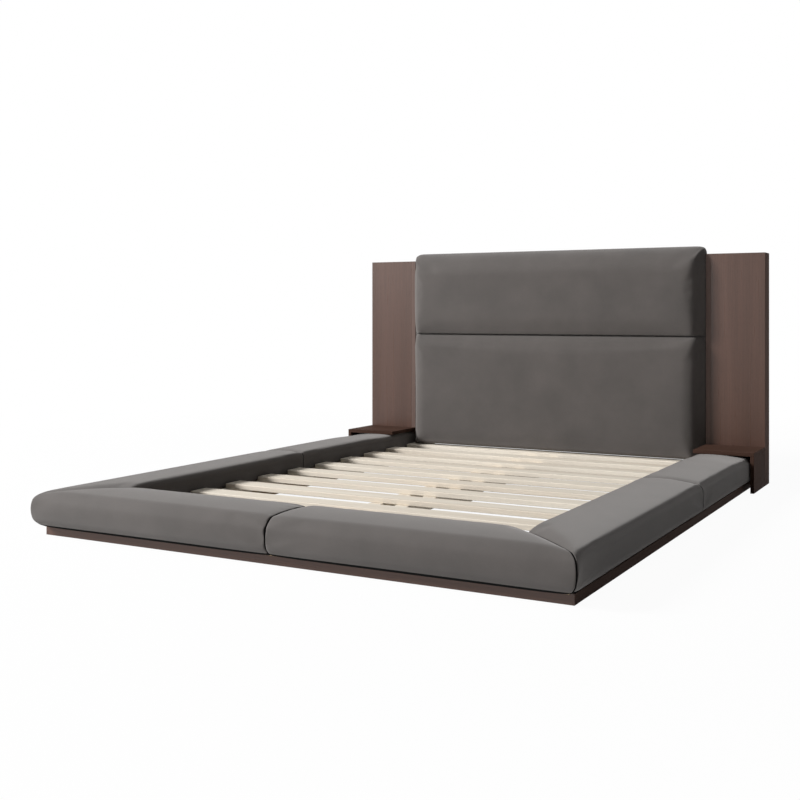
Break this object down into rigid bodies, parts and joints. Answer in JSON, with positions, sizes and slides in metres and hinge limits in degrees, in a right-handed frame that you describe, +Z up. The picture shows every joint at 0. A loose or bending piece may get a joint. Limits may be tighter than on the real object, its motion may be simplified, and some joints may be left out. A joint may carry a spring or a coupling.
{
  "type": "platform bed",
  "caption": "Low platform bed with padded rails on a recessed plinth, a slat deck, and a padded headboard between wood wings with bedside shelves.",
  "frame": {"origin": "on the floor under the middle of the bed", "axes": "+X to the right seen from the foot end, +Y towards the headboard, +Z up"},
  "size_m": [2.076, 2.528, 1.104],
  "materials": {
    "upholstery": "matte",
    "walnut": "satin",
    "slat_timber": "matte",
    "frame_board": "matte",
    "back_panel": "matte",
    "black_steel": "satin",
    "zinc_steel": "satin",
    "foot_plastic": "matte"
  },
  "bodies": {
    "bed": {"beam_brackets": "black_steel", "centre_beam_left": "slat_timber", "centre_beam_right": "slat_timber", "centre_leg_front": "slat_timber", "centre_leg_middle": "slat_timber", "centre_leg_rear": "slat_timber", "foot_box_left": "frame_board", "foot_box_right": "frame_board", "foot_cushion_left": "upholstery", "foot_cushion_right": "upholstery", "head_crossbar": "slat_timber", "headboard_back_cover": "back_panel", "headboard_board": "frame_board", "headboard_bolts": "zinc_steel", "headboard_frame": "frame_board", "headboard_pad_lower": "upholstery", "headboard_pad_upper": "upholstery", "inner_bearer_front": "frame_board", "left_front_box": "frame_board", "left_front_cushion": "upholstery", "left_head_box": "frame_board", "left_head_cushion": "upholstery", "left_inner_bearer": "frame_board", "left_ledger": "slat_timber", "left_plinth": "walnut", "left_shelf": "walnut", "left_shelf_leg": "walnut", "left_wing_carcass": "walnut", "left_wing_face": "walnut", "left_wing_side": "walnut", "plinth_front": "walnut", "plinth_rear": "frame_board", "rail_bolts": "zinc_steel", "right_front_box": "frame_board", "right_front_cushion": "upholstery", "right_head_box": "frame_board", "right_head_cushion": "upholstery", "right_inner_bearer": "frame_board", "right_ledger": "slat_timber", "right_plinth": "walnut", "right_shelf": "walnut", "right_shelf_leg": "walnut", "right_wing_carcass": "walnut", "right_wing_face": "walnut", "right_wing_side": "walnut", "slat_01": "slat_timber", "slat_02": "slat_timber", "slat_03": "slat_timber", "slat_04": "slat_timber", "slat_05": "slat_timber", "slat_06": "slat_timber", "slat_07": "slat_timber", "slat_08": "slat_timber", "slat_09": "slat_timber", "slat_10": "slat_timber", "slat_screws": "zinc_steel"},
    "front_foot": {"levelling_foot_front": "foot_plastic"},
    "middle_foot": {"levelling_foot_middle": "foot_plastic"},
    "rear_foot": {"levelling_foot_rear": "foot_plastic"}
  },
  "joints": [
    {"name": "front_foot_screw", "type": "slide", "parent": "bed", "child": "front_foot", "axis": [0, 0, 1], "range_m": [0, 0.006]},
    {"name": "middle_foot_screw", "type": "slide", "parent": "bed", "child": "middle_foot", "axis": [0, 0, 1], "range_m": [0, 0.006]},
    {"name": "rear_foot_screw", "type": "slide", "parent": "bed", "child": "rear_foot", "axis": [0, 0, 1], "range_m": [0, 0.006]}
  ]
}
